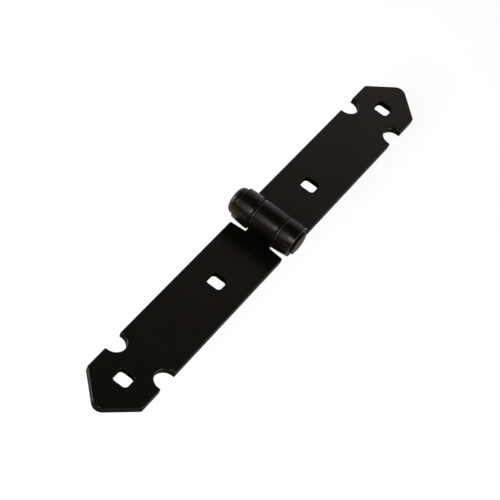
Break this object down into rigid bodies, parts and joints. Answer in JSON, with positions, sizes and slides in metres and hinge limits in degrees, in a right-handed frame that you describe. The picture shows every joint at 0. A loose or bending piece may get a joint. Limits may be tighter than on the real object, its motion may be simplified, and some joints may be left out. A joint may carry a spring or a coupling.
{
  "type": "strap hinge",
  "caption": "Black steel strap hinge with arrow-shaped strap ends, square bolt holes and a riveted pin through rolled knuckles, for a door, gate or lid.",
  "frame": {"origin": "on the plane of the straps' backs, directly under the pin's axis, midway across the straps", "axes": "+X along the leaf with two knuckles, +Y along the pin towards its domed head, +Z out of the straps' front faces"},
  "size_m": [0.3044, 0.0451, 0.0213],
  "materials": {
    "leaf_coat": "satin black powder coat",
    "pin_coat": "satin black powder coat"
  },
  "bodies": {
    "two_knuckle_side": {"two_knuckle_leaf": "leaf_coat", "hinge_pin": "pin_coat"},
    "one_knuckle_side": {"one_knuckle_leaf": "leaf_coat"}
  },
  "joints": [
    {"name": "leaf_swing", "type": "hinge", "parent": "two_knuckle_side", "child": "one_knuckle_side", "pos_m": [0, 0, 0.0118], "axis": [0, 1, 0], "range_deg": [-47, 184]}
  ]
}
